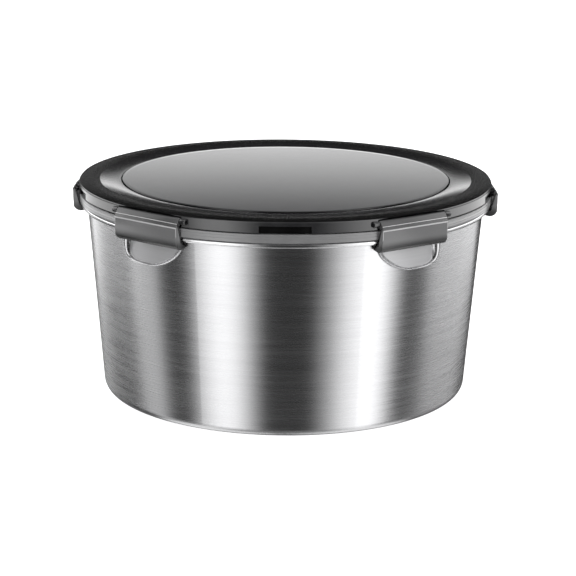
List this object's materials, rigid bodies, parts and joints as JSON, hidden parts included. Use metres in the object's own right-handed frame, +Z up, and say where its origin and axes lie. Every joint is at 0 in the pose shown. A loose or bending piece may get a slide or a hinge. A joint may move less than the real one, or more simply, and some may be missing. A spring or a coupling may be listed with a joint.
{
  "type": "lidded salad bowl",
  "caption": "Round tapered steel bowl with a flat lid; hinged latches round the lid hook under the rim bead and hold it shut.",
  "frame": {"origin": "middle of the underside of the bowl, on the surface it stands on", "axes": "+Z up through the lid, -Y towards the front, midway between the two latches with the widest space between them"},
  "size_m": [0.2284, 0.2224, 0.1159],
  "materials": {
    "steel": "fine horizontal brushing, bright bead",
    "collar": "light grey, satin",
    "frame": "black, satin crown, polished band, smoke skirt",
    "panel": "grey tint, polished",
    "seal": "matt",
    "latch": "smoke grey, half gloss",
    "pin": "drawn wire"
  },
  "bodies": {
    "bowl": {"bowl_shell": "steel", "rim_collar": "collar"},
    "lid": {"lid_frame": "frame", "lid_panel": "panel", "lid_seal": "seal", "hinge_pin_1": "pin", "hinge_pin_2": "pin", "hinge_pin_3": "pin", "hinge_pin_4": "pin", "hinge_pin_5": "pin", "hinge_pin_6": "pin"},
    "front_right_latch": {"latch_1": "latch"},
    "right_latch": {"latch_2": "latch"},
    "back_right_latch": {"latch_3": "latch"},
    "back_left_latch": {"latch_4": "latch"},
    "left_latch": {"latch_5": "latch"},
    "front_left_latch": {"latch_6": "latch"}
  },
  "joints": [
    {"name": "lid_lift", "type": "slide", "parent": "bowl", "child": "lid", "axis": [0, 0, 1], "range_m": [0, 0.08]},
    {"name": "front_right_latch_swing", "type": "hinge", "parent": "lid", "child": "front_right_latch", "pos_m": [0.06553, -0.0876, 0.1122], "axis": [-0.8007, -0.599, 0], "range_deg": [0, 90]},
    {"name": "right_latch_swing", "type": "hinge", "parent": "lid", "child": "right_latch", "pos_m": [0.10912, 0.00778, 0.1122], "axis": [0.0711, -0.9975, 0], "range_deg": [0, 90]},
    {"name": "back_right_latch_swing", "type": "hinge", "parent": "lid", "child": "back_right_latch", "pos_m": [0.05244, 0.09602, 0.1122], "axis": [0.8776, -0.4793, 0], "range_deg": [0, 90]},
    {"name": "back_left_latch_swing", "type": "hinge", "parent": "lid", "child": "back_left_latch", "pos_m": [-0.05244, 0.09602, 0.1122], "axis": [0.8776, 0.4793, 0], "range_deg": [0, 90]},
    {"name": "left_latch_swing", "type": "hinge", "parent": "lid", "child": "left_latch", "pos_m": [-0.10912, 0.00778, 0.1122], "axis": [0.0711, 0.9975, 0], "range_deg": [0, 90]},
    {"name": "front_left_latch_swing", "type": "hinge", "parent": "lid", "child": "front_left_latch", "pos_m": [-0.06553, -0.0876, 0.1122], "axis": [-0.8007, 0.599, 0], "range_deg": [0, 90]}
  ]
}
